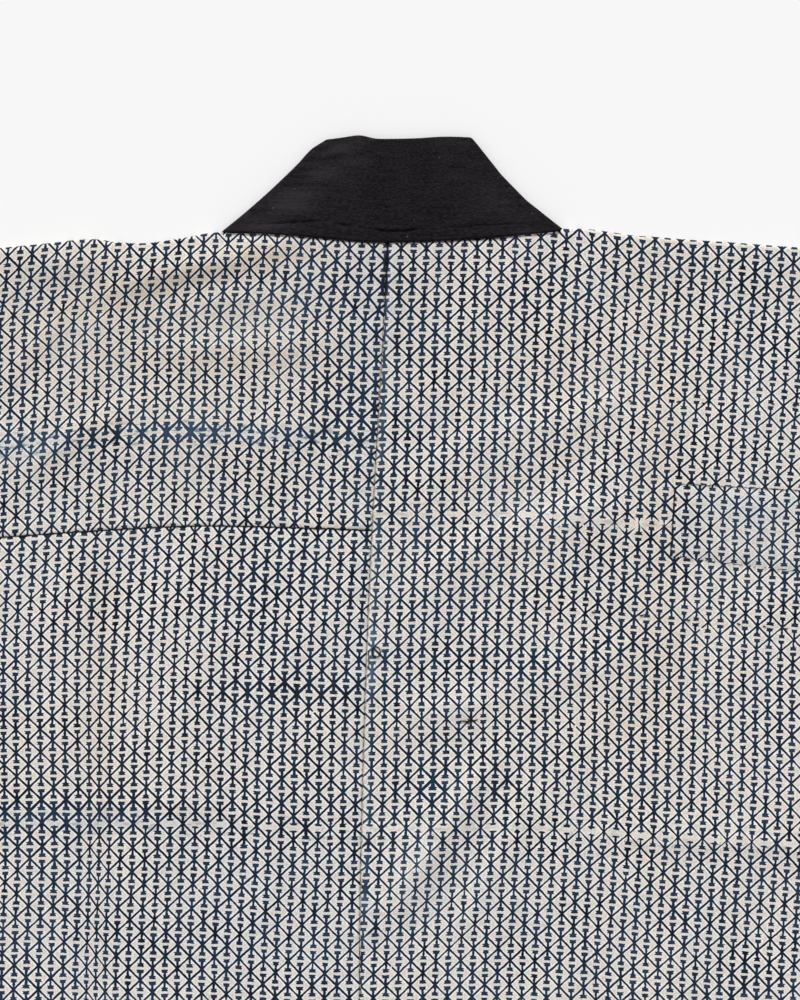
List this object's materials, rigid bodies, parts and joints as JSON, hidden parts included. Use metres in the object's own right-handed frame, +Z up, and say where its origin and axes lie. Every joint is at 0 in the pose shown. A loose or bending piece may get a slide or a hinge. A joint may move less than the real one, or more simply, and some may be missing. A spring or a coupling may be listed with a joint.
{
  "type": "kimono jacket",
  "caption": "Kimono jacket of indigo stencil-printed cotton with straight sleeves and a black collar band, laid flat with its back up.",
  "frame": {"origin": "on the surface the jacket lies on, under the middle of its box", "axes": "+Z up out of the back, +Y towards the collar, +X towards the right sleeve"},
  "size_m": [1.24, 0.8817, 0.0072],
  "materials": {
    "printed_cotton": "matt hand-woven cotton, pale ground with an indigo lattice print",
    "patch_cotton": "matt faded cotton with the same print",
    "collar_cotton": "matt black cotton with a fine crosswise crepe"
  },
  "bodies": {
    "root": {"body_left": "printed_cotton", "back_left_lower": "printed_cotton", "body_right": "printed_cotton", "sleeve_left": "printed_cotton", "sleeve_right": "printed_cotton", "patch_right": "patch_cotton", "collar": "collar_cotton"}
  },
  "joints": []
}
